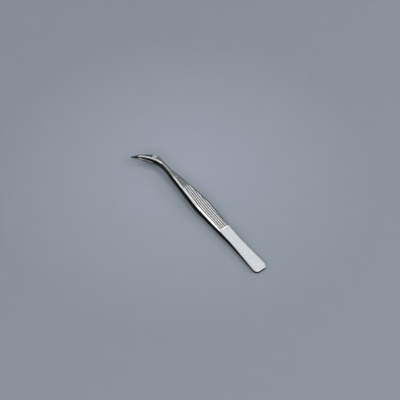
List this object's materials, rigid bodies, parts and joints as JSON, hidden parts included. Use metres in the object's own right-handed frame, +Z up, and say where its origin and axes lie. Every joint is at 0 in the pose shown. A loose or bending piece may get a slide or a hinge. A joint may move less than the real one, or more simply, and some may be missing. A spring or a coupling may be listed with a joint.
{
  "type": "angled-tip tweezers",
  "caption": "Polished steel tweezers with fluted grips and tapered tips bent to one side, joined at the heel so the arms spring apart.",
  "frame": {"origin": "on the lower arm's flat outer face at the heel, 6.2 mm in front of the heel's end, where the tweezers lie on a surface", "axes": "+X from the heel towards the tips along the surface, +Z up across the two arms, +Y the side that the tips bend towards"},
  "size_m": [0.1488, 0.0222, 0.0103],
  "materials": {
    "satin_steel": "satin",
    "polished_steel": "polished"
  },
  "bodies": {
    "heel": {"upper_heel": "satin_steel", "lower_heel": "satin_steel"},
    "upper_arm_body": {"upper_arm": "polished_steel", "guide_pin": "polished_steel"},
    "lower_arm_body": {"lower_arm": "polished_steel"}
  },
  "joints": [
    {"name": "upper_arm_flex", "type": "hinge", "parent": "heel", "child": "upper_arm_body", "pos_m": [0.0064, 0, 0.00279], "axis": [0, 1, 0], "range_deg": [0, 0.12], "stiffness_Nm_per_rad": 8},
    {"name": "lower_arm_flex", "type": "hinge", "parent": "heel", "child": "lower_arm_body", "pos_m": [0.00647, 0, 0.00082], "axis": [0, -1, 0], "range_deg": [0, 0.12], "stiffness_Nm_per_rad": 8}
  ],
  "couplings": [
    {"joint": "lower_arm_flex", "follows": "upper_arm_flex", "ratio": 1}
  ]
}
